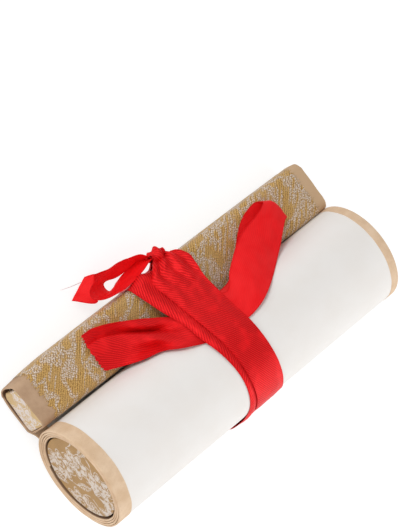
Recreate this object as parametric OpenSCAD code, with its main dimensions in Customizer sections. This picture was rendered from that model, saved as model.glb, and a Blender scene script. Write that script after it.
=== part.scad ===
// Paper scroll: a card sheet with bound edges, wound on a roller and wrapped round a flat-sided bar,
// tied with one ribbon. All lengths are in millimetres.
// X runs along the roll, Z is up, and the origin is the middle of the face that it rests on.

/* [Roll] */
// Outside diameter of the wound roll
roll_d = 64; // [50:1:80]
// Length of the roll over its bound edges
roll_l = 222; // [160:1:300]
// Half turns of the sheet round the roller
half_turns = 8; // [4:1:10]
// Thickness of the sheet
sheet_t = 0.65; // [0.4:0.05:0.9]
// Air between two turns
turn_gap = 0.18; // [0.12:0.02:0.4]

/* [Edge binding] */
// Thickness of the folded edge strip on each side of the sheet
binding_t = 0.2; // [0.12:0.02:0.3]
// Width of the edge strip on the roll
roll_binding_w = 6.8; // [4:0.2:8]
// Width of the edge strip on the bar
bar_binding_w = 9.5; // [8:0.5:16]
// Glue line between two layers
paste_gap = 0.03; // [0.02:0.01:0.06]

/* [Roller] */
// Wall of the tube that carries the turns
tube_wall = 2; // [1:0.25:4]
// Thickness of a covered end disc
disc_t = 2; // [1:0.25:4]
// How far an end disc sits in from the edges of the turns
disc_recess = 1.2; // [0.5:0.1:3]
// Air between a disc or panel and the sheet round it
fit_gap = 0.15; // [0.1:0.05:0.4]

/* [Bar] */
// Width of the bar, away from the roll
bar_w = 31.6; // [24:0.2:40]
// Height of the bar
bar_h = 26; // [20:0.5:34]
// Outside radius of the bar's long edges
bar_corner_r = 4; // [2.5:0.25:6]
// How far the middle of the bar lies below the middle of the roll
bar_drop = 7.2; // [3:0.2:10]
// Air between the bar and the roll
bar_gap = 0.3; // [0.2:0.05:1]
// Wall of the box tube inside the wrap
core_wall = 2; // [1:0.25:4]
// Thickness of a covered end panel
panel_t = 2; // [1:0.25:4]
// How far an end panel sits in from the edges of the wrap
panel_recess = 1.5; // [0.5:0.1:3]
// Radius of the bend where the sheet leaves the bar
bend_r = 1.2; // [0.8:0.1:2]
// How far that bend lies past the bar's inner side
bend_tuck = 1.5; // [0:0.25:2.5]
// Height of the open seam beside that bend
seam_h = 1.5; // [0.5:0.25:4]

/* [Brocade] */
// Thickness of the woven cover on the bar
brocade_t = 0.35; // [0.2:0.05:0.6]
// Air between the cover and the edge strips
brocade_gap = 0.1; // [0.05:0.05:0.5]

/* [Ribbon] */
// Width of the ribbon
ribbon_w = 25; // [15:1:32]
// Thickness of the ribbon
ribbon_t = 0.36; // [0.2:0.02:0.6]
// Air between the ribbon and what it ties
ribbon_gap = 0.05; // [0.03:0.01:0.2]
// Reach of the lower layer past the near edge of the band, at the bar
fan_w = 11.5; // [4:0.5:16]
// Reach of the near tail from the middle of the band
near_tail_l = 68; // [50:1:90]
// Reach of the far loop from the middle of the band
far_loop_l = 80; // [50:1:100]
// Reach of the loop behind the bar
back_loop_l = 41; // [25:1:60]
// Reach of the tail behind the bar
back_tail_l = 57; // [30:1:80]
// Half length of the knot along the roll
knot_r = 6; // [3:0.5:9]

/* [Hidden] */

// How far a cut runs past what it cuts
overrun = 1;
// Largest angle of one facet
facet_deg = 7.5;

bound_t = sheet_t + 2 * binding_t;
pitch = bound_t + turn_gap;
roll_r = roll_d / 2;
turn_r = roll_r - bound_t / 2;

// Outside of the bar, in the section: p runs from the roll to the bar, q is up before the scroll is laid down
bar_in_p = roll_r + bar_gap;
bar_out_p = bar_in_p + bar_w;
bar_top_q = bar_h / 2 - bar_drop;
bar_bot_q = -bar_h / 2 - bar_drop;

// Middle of the sheet where it wraps the bar
skin_t = max(binding_t, brocade_t + paste_gap);
wrap_in = sheet_t / 2 + skin_t;
mid_in_p = bar_in_p + wrap_in;
mid_out_p = bar_out_p - wrap_in;
mid_top_q = bar_top_q - wrap_in;
mid_bot_q = bar_bot_q + wrap_in;
mid_r = bar_corner_r - wrap_in;

// The sheet leaves the bar round a small bend, then runs straight to the outermost turn
bend_c = [bar_in_p - bend_tuck, mid_bot_q - bend_r];
bend_out = atan2(-bend_c.y, -bend_c.x) + asin((turn_r + bend_r) / norm(bend_c));
bridge_l = sqrt(pow(norm(bend_c), 2) - pow(turn_r + bend_r, 2));

// Route of the sheet's middle as [straight length, bend radius, turn]
SEGMENTS = concat(
  [
    [mid_top_q - mid_r - mid_bot_q - mid_r - seam_h, 0, 0],
    [0, mid_r, -90],
    [mid_out_p - mid_in_p - 2 * mid_r, 0, 0],
    [0, mid_r, -90],
    [mid_top_q - mid_bot_q - 2 * mid_r, 0, 0],
    [0, mid_r, -90],
    [mid_out_p - mid_r - bend_c.x, 0, 0],
    [0, bend_r, bend_out - 180],
    [bridge_l, 0, 0]
  ],
  [for (k = [0 : half_turns - 1]) [0, turn_r - k * pitch / 2, -180]]
);
START = [mid_in_p, mid_bot_q + mid_r + seam_h, 90];
LAST = len(SEGMENTS) - 1;
BAR_LAST = 6;

function ray(a) = [cos(a), sin(a)];
function side(s) = s[2] > 0 ? 1 : -1;
function centre(pose, s) = [pose.x, pose.y] + s[1] * ray(pose.z + 90 * side(s));
function after(pose, s) = s[2] == 0
  ? [pose.x + s[0] * cos(pose.z), pose.y + s[0] * sin(pose.z), pose.z]
  : let (e = centre(pose, s) + s[1] * ray(pose.z + s[2] - 90 * side(s))) [e.x, e.y, pose.z + s[2]];
POSES = [for (k = 0, pose = START; k <= LAST + 1; pose = k <= LAST ? after(pose, SEGMENTS[k]) : pose, k = k + 1) pose];

// Points of one piece of the route, each with its heading
function piece(pose, s) = s[2] == 0
  ? [pose]
  : let (n = ceil(abs(s[2]) / facet_deg), c = centre(pose, s))
    [for (i = [0 : n - 1]) let (a = pose.z + s[2] * i / n, e = c + s[1] * ray(a - 90 * side(s))) [e.x, e.y, a]];
function trace(first, last) = concat([for (k = [first : last]) each piece(POSES[k], SEGMENTS[k])], [POSES[last + 1]]);
function beside(pose, n) = [pose.x, pose.y] + n * ray(pose.z + 90);
function ahead(pose, d) = [pose.x + d * cos(pose.z), pose.y + d * sin(pose.z), pose.z];
function run_on(t, d) = concat([ahead(t[0], -d)], t, [ahead(t[len(t) - 1], d)]);
function layer(t, low, high) = concat(
  [for (pose = t) beside(pose, high)],
  [for (i = [len(t) - 1 : -1 : 0]) beside(t[i], low)]
);

// The roller lies inside the last half turn
roller_c = centre(POSES[LAST], SEGMENTS[LAST]);
roller_r = SEGMENTS[LAST][1] - bound_t / 2 - fit_gap;

// The ribbon's band runs straight from the roll to the bar's outer edges
edge_top = [bar_out_p - bar_corner_r, bar_top_q - bar_corner_r];
edge_bot = [bar_out_p - bar_corner_r, bar_bot_q + bar_corner_r];
top_a = atan2(edge_top.y, edge_top.x) + acos((roll_r - bar_corner_r) / norm(edge_top));
bot_a = atan2(edge_bot.y, edge_bot.x) - acos((roll_r - bar_corner_r) / norm(edge_bot));
function arc(c, r, from, to) = let (n = ceil((to - from) / facet_deg))
  [for (i = [0 : n]) c + r * ray(from + (to - from) * i / n)];
function ring(off) = concat(
  arc(edge_top, bar_corner_r + off, 0, top_a),
  arc([0, 0], roll_r + off, top_a, 360 + bot_a),
  arc(edge_bot, bar_corner_r + off, 360 + bot_a, 360)
);
band_mid = ribbon_gap + ribbon_t / 2;

// Laid down, the roll and the bar's lower outer edge touch the floor through the ribbon
lay_a = bot_a + 90;
rest_p = (edge_bot.x * cos(lay_a) + edge_bot.y * sin(lay_a)) / 2;
module laid() {
  translate([0, -rest_p, roll_r + ribbon_gap + ribbon_t])
    rotate([-lay_a, 0, 0])
      rotate([90, 0, 90])
        children();
}

// A section drawn from one place along the roll to another
module drawn(from, to) {
  translate([0, 0, from])
    linear_extrude(height = to - from)
      children();
}

module scroll_sheet() {
  color("#ECEAE6")
    laid()
      drawn(-roll_l / 2 + binding_t + paste_gap, roll_l / 2 - binding_t - paste_gap)
        polygon(layer(trace(0, LAST), -sheet_t / 2, sheet_t / 2));
}

// A strip folded over one long edge of the sheet, drawn at the low end
module edge_binding() {
  slot_n = sheet_t / 2 + paste_gap;
  difference() {
    drawn(-roll_l / 2, -roll_l / 2 + bar_binding_w)
      polygon(layer(trace(0, LAST), -bound_t / 2, bound_t / 2));
    drawn(-roll_l / 2 + binding_t, -roll_l / 2 + bar_binding_w + overrun)
      polygon(layer(run_on(trace(0, LAST), overrun), -slot_n, slot_n));
    translate([-roll_d, -roll_d, -roll_l / 2 + roll_binding_w])
      cube([roll_d + roll_r + bar_gap / 2, 2 * roll_d, bar_binding_w]);
  }
}

module edge_binding_near() {
  color("#DDBB95")
    laid()
      edge_binding();
}

module edge_binding_far() {
  color("#DDBB95")
    laid()
      mirror([0, 0, 1])
        edge_binding();
}

module roller_tube() {
  tube_l = roll_l - 2 * disc_recess - 2 * disc_t;
  color("#B79B7C")
    laid()
      translate([roller_c.x, roller_c.y, -tube_l / 2])
        difference() {
          cylinder(r = roller_r, h = tube_l, $fn = 96);
          translate([0, 0, -overrun])
            cylinder(r = roller_r - tube_wall, h = tube_l + 2 * overrun, $fn = 96);
        }
}

module roller_disc() {
  translate([roller_c.x, roller_c.y, -roll_l / 2 + disc_recess])
    cylinder(r = roller_r, h = disc_t, $fn = 96);
}

module roller_disc_near() {
  color("#C2A468")
    laid()
      roller_disc();
}

module roller_disc_far() {
  color("#C2A468")
    laid()
      mirror([0, 0, 1])
        roller_disc();
}

// Outline of what fills the wrap, set in from its middle line
function core_outline(inset) =
  let (
    r = mid_r - inset,
    low = [mid_in_p + mid_r, mid_bot_q + mid_r],
    high = [mid_out_p - mid_r, mid_top_q - mid_r]
  )
  concat(
    arc(high, r, 0, 90),
    arc([low.x, high.y], r, 90, 180),
    arc(low, r, 180, 270),
    arc([high.x, low.y], r, 270, 360)
  );
core_in = bound_t / 2 + fit_gap;

module bar_core() {
  half_l = roll_l / 2 - panel_recess - panel_t;
  hole_share = 1 - 2 * core_wall / (mid_out_p - mid_in_p - 2 * core_in);
  hole_up_share = 1 - 2 * core_wall / (mid_top_q - mid_bot_q - 2 * core_in);
  middle = [(mid_in_p + mid_out_p) / 2, (mid_top_q + mid_bot_q) / 2];
  color("#B79B7C")
    laid()
      difference() {
        drawn(-half_l, half_l)
          polygon(core_outline(core_in));
        drawn(-half_l - overrun, half_l + overrun)
          polygon([for (e = core_outline(core_in))
            [middle.x + (e.x - middle.x) * hole_share, middle.y + (e.y - middle.y) * hole_up_share]]);
      }
}

module bar_panel() {
  drawn(-roll_l / 2 + panel_recess, -roll_l / 2 + panel_recess + panel_t)
    polygon(core_outline(core_in));
}

module bar_panel_near() {
  color("#C9A85F")
    laid()
      bar_panel();
}

module bar_panel_far() {
  color("#C9A85F")
    laid()
      mirror([0, 0, 1])
        bar_panel();
}

module brocade_cover() {
  cover_n = sheet_t / 2 + paste_gap;
  half_l = roll_l / 2 - bar_binding_w - brocade_gap;
  color("#B8924C")
    laid()
      drawn(-half_l, half_l)
        polygon(layer(trace(0, BAR_LAST), cover_n, cover_n + brocade_t));
}

// A strip of ribbon between two edges, each a row of points [p, q, x]; folds lift its inner lines
function curve(a, b, c, d, t) = 0.5 * (
  2 * b + t * (c - a) + t * t * (2 * a - 5 * b + 4 * c - d) + t * t * t * (3 * b - a - 3 * c + d));
strip_steps = 5;
function smooth_row(e, steps) = let (n = len(e) - 1) concat(
  [for (i = [0 : n - 1], k = [0 : steps - 1])
    curve(e[max(i - 1, 0)], e[i], e[i + 1], e[min(i + 2, n)], k / steps)],
  [e[n]]
);
function unit(v) = v / norm(v);
function lerp(a, b, t) = a + (b - a) * t;
module strip(left, right, folds_share, steps = strip_steps, thick = ribbon_t) {
  a = smooth_row(left, steps);
  b = smooth_row(right, steps);
  n = len(a) - 1;
  m = len(folds_share);
  mid = [for (i = [0 : n]) (a[i] + b[i]) / 2];
  up = [for (i = [0 : n])
    unit(cross(mid[min(i + 1, n)] - mid[max(i - 1, 0)], b[i] - a[i]))];
  ends_share = [for (i = [0 : n]) min(1, min(i, n - i) / steps)];
  line = [for (i = [0 : n], j = [0 : m - 1])
    lerp(a[i], b[i], j / (m - 1)) + up[i] * folds_share[j] * ends_share[i] * ribbon_w];
  points = [for (i = [0 : n]) each concat(
    [for (j = [0 : m - 1]) line[i * m + j] + up[i] * thick / 2],
    [for (j = [m - 1 : -1 : 0]) line[i * m + j] - up[i] * thick / 2])];
  c = 2 * m;
  polyhedron(
    points = points,
    faces = concat(
      [for (i = [0 : n - 1], j = [0 : c - 1])
        each [
          [i * c + j, i * c + (j + 1) % c, (i + 1) * c + j],
          [i * c + (j + 1) % c, (i + 1) * c + (j + 1) % c, (i + 1) * c + j]
        ]],
      [for (j = [0 : m - 2])
        each [
          [j, c - 1 - j, j + 1],
          [j + 1, c - 1 - j, c - 2 - j],
          [n * c + j, n * c + j + 1, n * c + c - 1 - j],
          [n * c + j + 1, n * c + c - 2 - j, n * c + c - 1 - j]
        ]]
    )
  );
}

// Places for the ribbon's free parts, as [p, q, x]
function on_bar(x, across_share, lift) = [bar_in_p + across_share * bar_w, bar_top_q + lift, x];
function on_roll(x, a, lift) = [(roll_r + lift) * cos(a), (roll_r + lift) * sin(a), x];
line_a = edge_top + (bar_corner_r + band_mid) * ray(top_a);
line_b = (roll_r + band_mid) * ray(top_a);
function in_band(x, along_share) = let (e = lerp(line_a, line_b, along_share)) [e.x, e.y, x];
function behind(x, off, q) = [bar_out_p + off, q, x];
fan_to_a = 165;
fan_ring = concat(
  arc(edge_top, bar_corner_r + band_mid, 0, top_a),
  [for (k = [1 : 4]) lerp(line_a, line_b, k / 5)],
  arc([0, 0], roll_r + band_mid, top_a, fan_to_a)
);

module ribbon() {
  r = ribbon_w;
  t = near_tail_l;
  f = far_loop_l;
  g = back_loop_l;
  h = back_tail_l;
  outer = ring(ribbon_gap + ribbon_t);
  inner = ring(ribbon_gap);
  n = len(outer);
  color("#D81F26")
    laid()
      union() {
        drawn(-r / 2, r / 2)
          polygon(
            points = concat(outer, inner),
            paths = [[for (i = [0 : n - 1]) i], [for (i = [n : 2 * n - 1]) i]]
          );
        // lower layer, showing beside the near edge of the band
        strip(
          [for (i = [0 : len(fan_ring) - 1])
            [fan_ring[i].x, fan_ring[i].y, -r / 2 - fan_w * lerp(1, 0.12, min(1, 1.6 * i / len(fan_ring)))]],
          [for (e = fan_ring) [e.x, e.y, -0.4 * r]],
          [0, 0],
          steps = 1,
          thick = ribbon_t - 2 * paste_gap
        );
        // near tail, lying over the gap on to the bar
        strip(
          [in_band(-0.05 * t, 0.48), on_bar(-0.27 * t, 0.2, 0.42 * r), on_bar(-0.43 * t, 0.45, 0.19 * r),
            on_bar(-0.65 * t, 0.7, 0.08 * r), on_bar(-0.86 * t, 0.84, 0.05 * r), on_bar(-0.98 * t, 0.85, 0.04 * r)],
          [in_band(-0.05 * t, 0.95), on_roll(-0.23 * t, 61, 0.03 * r), on_roll(-0.38 * t, 51, 0.05 * r),
            on_roll(-0.61 * t, 31, 0.06 * r), on_bar(-0.84 * t, 0.04, 0.11 * r), on_bar(-t, 0.17, 0.06 * r)],
          [0, 0.06, 0.01, 0.05, 0]
        );
        // far loop, out over the bar and back
        strip(
          [in_band(0.05 * f, 0.6), on_bar(0.2 * f, 0.05, 0.4 * r), on_bar(0.41 * f, 0.27, 0.16 * r),
            on_bar(0.58 * f, 0.55, 0.07 * r), on_bar(0.73 * f, 0.8, 0.04 * r), on_bar(0.86 * f, 0.86, 0.05 * r),
            on_bar(0.92 * f, 0.84, 0.15 * r), on_bar(0.82 * f, 0.74, 0.28 * r), on_bar(0.62 * f, 0.52, 0.37 * r),
            on_bar(0.45 * f, 0.25, 0.48 * r), on_bar(0.25 * f, 0.04, 0.62 * r), in_band(0.07 * f, 0.58)],
          [in_band(0.05 * f, 0.97), on_roll(0.19 * f, 62, 0.03 * r), on_roll(0.35 * f, 56, 0.04 * r),
            on_roll(0.54 * f, 46, 0.05 * r), on_bar(0.76 * f, 0.02, 0.22 * r), on_bar(0.93 * f, 0.26, 0.06 * r),
            on_bar(f, 0.3, 0.15 * r), on_bar(0.93 * f, 0.2, 0.26 * r), on_roll(0.73 * f, 29, 0.15 * r),
            on_roll(0.48 * f, 50, 0.11 * r), on_roll(0.25 * f, 61, 0.09 * r), in_band(0.07 * f, 0.96)],
          [0, 0.02, 0.03, 0.02, 0]
        );
        // loop behind the bar, standing on its edge
        strip(
          [behind(-0.05 * g, 0.15 * r, 0.2 * r), behind(-0.32 * g, 0.5 * r, 0.32 * r),
            behind(-0.72 * g, 0.68 * r, 0.34 * r), behind(-g, 0.55 * r, 0.34 * r),
            behind(-1.06 * g, 0.34 * r, 0.32 * r), behind(-0.9 * g, 0.22 * r, 0.3 * r),
            behind(-0.5 * g, 0.24 * r, 0.26 * r), behind(-0.05 * g, 0.14 * r, 0.16 * r)],
          [behind(0.05 * g, 0.13 * r, -0.12 * r), behind(-0.12 * g, 0.4 * r, -0.38 * r),
            behind(-0.5 * g, 0.58 * r, -0.42 * r), behind(-0.78 * g, 0.46 * r, -0.42 * r),
            behind(-0.84 * g, 0.26 * r, -0.4 * r), behind(-0.68 * g, 0.12 * r, -0.38 * r),
            behind(-0.28 * g, 0.14 * r, -0.3 * r), behind(0.05 * g, 0.12 * r, -0.1 * r)],
          [0, 0.03, 0]
        );
        // tail behind the bar, turned flat at its cut end
        strip(
          [behind(-0.02 * h, 0.13 * r, 0.2 * r), behind(-0.32 * h, 0.22 * r, 0.3 * r),
            behind(-0.62 * h, 0.24 * r, 0.32 * r), behind(-0.8 * h, 0.3 * r, 0.3 * r),
            behind(-h, 0.55 * r, 0.26 * r)],
          [behind(0.02 * h, 0.12 * r, -0.1 * r), behind(-0.2 * h, 0.34 * r, -0.4 * r),
            behind(-0.42 * h, 0.58 * r, -0.42 * r), behind(-0.52 * h, 0.68 * r, -0.38 * r),
            behind(-0.64 * h, 0.76 * r, -0.3 * r)],
          [0, 0.03, 0.03, 0]
        );
        // knot, pressed on the band
        translate([bar_out_p + band_mid + 0.66 * knot_r, bar_top_q - 0.55 * knot_r, 0])
          hull()
            scale([0.7, 0.85, 1])
              sphere(r = knot_r, $fn = 14);
      }
}

scroll_sheet();
edge_binding_near();
edge_binding_far();
roller_tube();
roller_disc_near();
roller_disc_far();
bar_core();
bar_panel_near();
bar_panel_far();
brocade_cover();
ribbon();
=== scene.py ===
# %% [markdown]
# # A paper scroll, tied with a red ribbon
# A sheet of white card has its two long edges bound with kraft paper. One end of it is wrapped round a
# bar that is dressed in brocade, the rest is wound on a roller, and one ribbon ties roll and bar
# together. Nearly all of it is flat stock that has been bent, so nearly all of it is made here in the
# same way: a flat grid is cut to size, keeps its flat cut as its UV map, and is then bent along a path.

import math

import bmesh
import bpy
from mathutils import Matrix, Vector, noise


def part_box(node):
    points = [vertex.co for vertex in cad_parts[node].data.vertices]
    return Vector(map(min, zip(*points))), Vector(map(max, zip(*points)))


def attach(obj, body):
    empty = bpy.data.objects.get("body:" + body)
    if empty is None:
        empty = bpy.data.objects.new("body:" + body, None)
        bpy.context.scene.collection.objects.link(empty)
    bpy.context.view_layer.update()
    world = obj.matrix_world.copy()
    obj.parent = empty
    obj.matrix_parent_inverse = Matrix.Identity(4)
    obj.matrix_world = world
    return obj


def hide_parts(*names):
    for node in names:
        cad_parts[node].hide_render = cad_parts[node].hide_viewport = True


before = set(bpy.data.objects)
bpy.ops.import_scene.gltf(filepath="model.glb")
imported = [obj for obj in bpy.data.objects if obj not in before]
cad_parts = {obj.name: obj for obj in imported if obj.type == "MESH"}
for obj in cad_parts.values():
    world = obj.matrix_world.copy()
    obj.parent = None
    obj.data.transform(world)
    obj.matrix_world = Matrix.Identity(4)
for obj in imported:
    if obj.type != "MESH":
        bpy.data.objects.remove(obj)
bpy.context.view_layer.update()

# %% [markdown]
# ## The section
# Seen from its end, the scroll is a plane drawing: a spiral, a rounded box beside it and a ribbon round
# both. The drawing has its middle at the roll's middle. p runs from the roll to the bar, q runs up and x
# runs along the roll, all in millimetres. The whole drawing is tipped a little at the end, so that roll
# and bar both lie on the floor.

# %% Sizes, in millimetres
MM = 0.001
PER_M = 1000
ROLL_L = PER_M * (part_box("edge_binding_far")[1].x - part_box("edge_binding_near")[0].x)
ROLL_R = 32.0
HALF_TURNS = 8
SHEET_T = 0.65
TURN_GAP = 0.18
BINDING_T = 0.2
PASTE_GAP = 0.03
BAR_GAP = 0.3
BAR_W = 31.6
BAR_H = 26.0
BAR_DROP = 7.2
BAR_CORNER_R = 4.0
DRESSED_CORNER_R = 5.2
NEAR_PROUD = 1.4
BINDING_W = {"near": (8.4, 7.6), "far": (5.9, 5.6)}
FRAY = 1.4
BEND_R = 1.2
BEND_TUCK = 1.5
SEAM_H = 1.5
BROCADE_T = 0.35
RIBBON_W = 25.0
RIBBON_T = 0.36
RIBBON_GAP = 0.05
FOLD_N = SHEET_T / 2 + PASTE_GAP + BINDING_T / 2
FOLD_L = math.pi * FOLD_N

END_X = ROLL_L / 2
BOUND_T = SHEET_T + 2 * BINDING_T
PITCH = BOUND_T + TURN_GAP
TURN_R = ROLL_R - BOUND_T / 2
BAR_IN = ROLL_R + BAR_GAP
BAR_OUT = BAR_IN + BAR_W
BAR_TOP = BAR_H / 2 - BAR_DROP
BAR_BOTTOM = -BAR_H / 2 - BAR_DROP
COVER_NEAR = BINDING_W["near"][1] - END_X
COVER_FAR = END_X - BINDING_W["far"][1]
print(f"roll {ROLL_L:.1f} long and {2 * ROLL_R:.0f} across, bar {BAR_W} by {BAR_H}")


# %% [markdown]
# A path is a row of straights and arcs. Asked for a length, it answers with the place and the heading
# there, so that a flat sheet can be laid along it. Spin would draw the same arcs, but a path can also be
# followed at a distance, which the layers of a wound sheet need.

# %% Paths in the section
def ray(degrees):
    """The unit direction at an angle in the section."""
    return Vector((math.cos(math.radians(degrees)), math.sin(math.radians(degrees))))


class Path:
    """Straights and arcs in the section, each given as (length, radius, turn in degrees)."""

    def __init__(self, start, heading, segments):
        self.pieces = []
        self.length = 0.0
        place = Vector(start)
        for straight, radius, turn in segments:
            run = straight if turn == 0 else radius * math.radians(abs(turn))
            self.pieces.append((self.length, run, place, heading, radius, turn))
            self.length += run
            place, heading = self.at(self.length)

    def at(self, s):
        """Place and heading, in degrees, at a length along the path."""
        first, run, place, heading, radius, turn = next(
            (piece for piece in reversed(self.pieces) if piece[0] <= s), self.pieces[0])
        if turn == 0:
            return place + ray(heading) * (s - first), heading
        side = math.copysign(90, turn)
        now = heading + turn * (s - first) / run
        return place + radius * (ray(heading + side) - ray(now + side)), now

    def beside(self, s, distance):
        """A place to the left of the path, or to its right where the distance is negative."""
        place, heading = self.at(s)
        return place + ray(heading + 90) * distance

    def stations(self, step_deg=5.0, step=4.0, last=None):
        """Lengths at which a sheet laid along the path needs a row of vertices."""
        found = []
        for first, run, _, _, _, turn in self.pieces[:last]:
            count = math.ceil(abs(turn) / step_deg) if turn else math.ceil(run / step)
            found += [first + run * k / count for k in range(count)]
        return found + [first + run]


SKIN_T = BROCADE_T + PASTE_GAP
WRAP_IN = SHEET_T / 2 + SKIN_T
WRAP_R = DRESSED_CORNER_R - WRAP_IN
BEND = Vector((BAR_IN - BEND_TUCK, BAR_BOTTOM + WRAP_IN - BEND_R))
BEND_REACH = TURN_R + BEND_R
BEND_TO = math.degrees(math.atan2(-BEND.y, -BEND.x) + math.asin(BEND_REACH / BEND.length))
BRIDGE_L = math.sqrt(BEND.length ** 2 - BEND_REACH ** 2)
SIDE_L = BAR_H - 2 * WRAP_IN - 2 * WRAP_R
TOP_L = BAR_W - 2 * WRAP_IN - 2 * WRAP_R
BAR_STEPS = [
    (SIDE_L - SEAM_H, 0, 0), (0, WRAP_R, -90), (TOP_L, 0, 0), (0, WRAP_R, -90),
    (SIDE_L, 0, 0), (0, WRAP_R, -90), (BAR_OUT - WRAP_IN - WRAP_R - BEND.x, 0, 0)]
TURN_STEPS = [(0, TURN_R - k * PITCH / 2, -180) for k in range(HALF_TURNS)]
sheet_path = Path(
    (BAR_IN + WRAP_IN, BAR_BOTTOM + WRAP_IN + WRAP_R + SEAM_H), 90,
    BAR_STEPS + [(0, BEND_R, BEND_TO - 180), (BRIDGE_L, 0, 0)] + TURN_STEPS)
bar_path_l = Path((0, 0), 90, BAR_STEPS).length
print(f"the sheet is {sheet_path.length:.0f} mm long, {bar_path_l:.0f} mm of it round the bar")

# %% [markdown]
# The ribbon's ring is a belt round the roll and the bar's two outer corners: arcs, joined by straights
# that touch both. Left alone, the scroll rolls over until it rests on the lower straight, so the same sum
# also gives the angle at which the whole drawing is laid down.

# %% Where the ribbon runs, and how the scroll lies
EDGE_TOP = Vector((BAR_OUT - BAR_CORNER_R, BAR_TOP - BAR_CORNER_R))
EDGE_LOW = Vector((BAR_OUT - BAR_CORNER_R, BAR_BOTTOM + BAR_CORNER_R))
R_STEP = ROLL_R - BAR_CORNER_R
TOP_A = math.degrees(math.atan2(EDGE_TOP.y, EDGE_TOP.x) + math.acos(R_STEP / EDGE_TOP.length))
LOW_A = math.degrees(math.atan2(EDGE_LOW.y, EDGE_LOW.x) - math.acos(R_STEP / EDGE_LOW.length))
ring_path = Path((BAR_OUT, EDGE_TOP.y), 90, [
    (0, BAR_CORNER_R, TOP_A),
    (math.sqrt(EDGE_TOP.length_squared - R_STEP ** 2), 0, 0),
    (0, ROLL_R, 360 + LOW_A - TOP_A),
    (math.sqrt(EDGE_LOW.length_squared - R_STEP ** 2), 0, 0),
    (0, BAR_CORNER_R, -LOW_A),
    (EDGE_TOP.y - EDGE_LOW.y, 0, 0)])
LAY = LOW_A + 90
REST_P = EDGE_LOW.dot(ray(LAY)) / 2
LAID = (Matrix.Scale(MM, 4)
        @ Matrix.Translation((0, -REST_P, ROLL_R + RIBBON_GAP + RIBBON_T))
        @ Matrix.Rotation(math.radians(-LAY), 4, "X"))
print(f"the ribbon's ring is {ring_path.length:.0f} mm round; the scroll is tipped {LAY:.1f} degrees")


# %% [markdown]
# ## From flat stock to pieces
# create_grid gives the flat sheet. Its vertices are moved to where the sheet has been bent to, and their
# flat places stay behind as the UV map, in metres, so that a weave or a fibre follows the bend and never
# stretches. Solidify then gives the stock its thickness, and is applied, so that edges sharper than SHARP
# can be marked on the real walls.

# %% Bending and finishing helpers
SHARP = math.radians(50)


def bend_flat(bm, along, across, place, shift=0.0):
    """Cuts a flat grid with a vertex at each station, and bends it by place(along, across)."""
    made = bmesh.ops.create_grid(bm, x_segments=len(along) - 1, y_segments=len(across) - 1, size=1.0)
    weave = bm.loops.layers.uv.verify()
    for v in made["verts"]:
        s = along[round((v.co.x + 1) / 2 * (len(along) - 1))]
        t = across[round((v.co.y + 1) / 2 * (len(across) - 1))]
        for loop in v.link_loops:
            loop[weave].uv = (s * MM, (t + shift) * MM)
        v.co = place(s, t)


def spread(first, last, step):
    """Evenly spaced stations from first to last, about a step apart."""
    count = max(1, round(abs(last - first) / step))
    return [first + (last - first) * k / count for k in range(count + 1)]


def graph(*points):
    """A smooth curve through (length, value) points, where a value is a number or a vector."""
    def slope(k):
        a, b = points[max(k - 1, 0)], points[min(k + 1, len(points) - 1)]
        return (b[1] - a[1]) / (b[0] - a[0])

    def value(s):
        k = max([i for i in range(len(points) - 1) if points[i][0] <= s], default=0)
        (a, low), (b, high) = points[k], points[k + 1]
        t = min(max((s - a) / (b - a), 0), 1)
        ease = t * t * (3 - 2 * t)
        return (low * (1 - ease) + high * ease
                + slope(k) * ((b - a) * t * (1 - t) ** 2) - slope(k + 1) * ((b - a) * t * t * (1 - t)))
    return value


def ripple(a, b, seed):
    """Smooth unevenness between -1 and 1."""
    return noise.noise(Vector((a, b, seed)))


def make_piece(name, bm, material, nodes, thickness=0.0):
    """Lays a drawn piece down, with its wall, finish and body, and lets it stand for its solids."""
    bmesh.ops.transform(bm, matrix=LAID, verts=bm.verts)
    mesh = bpy.data.meshes.new(name)
    bm.to_mesh(mesh)
    bm.free()
    mesh.materials.append(material)
    piece = bpy.data.objects.new(name, mesh)
    bpy.context.scene.collection.objects.link(piece)
    if thickness:
        wall = piece.modifiers.new("wall", "SOLIDIFY")
        wall.thickness = thickness * MM
        wall.offset = 0.0
        bpy.context.view_layer.update()
        solid = piece.evaluated_get(bpy.context.evaluated_depsgraph_get())
        piece.data = bpy.data.meshes.new_from_object(solid)
        piece.modifiers.clear()
    piece.data.shade_smooth()
    piece.data.set_sharp_from_angle(angle=SHARP)
    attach(piece, "root")
    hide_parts(*nodes)
    print(f"{name}: {len(piece.data.polygons)} faces")
    return piece


# %% [markdown]
# ## Finishes
# Materials are node trees. Two small classes keep them readable: a Wire is one output of a node and
# understands + - *, and a Bench is one material's tree, with one method that makes any node.

# %% Shader helpers
OBJECT_MM = (PER_M, PER_M, PER_M)
UV_MM = (PER_M, PER_M, 1)


def socket_of(sockets, key):
    """The enabled socket of that number or name."""
    enabled = [s for s in sockets if s.enabled]
    return enabled[key] if isinstance(key, int) else next(s for s in enabled if s.name == key)


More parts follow.
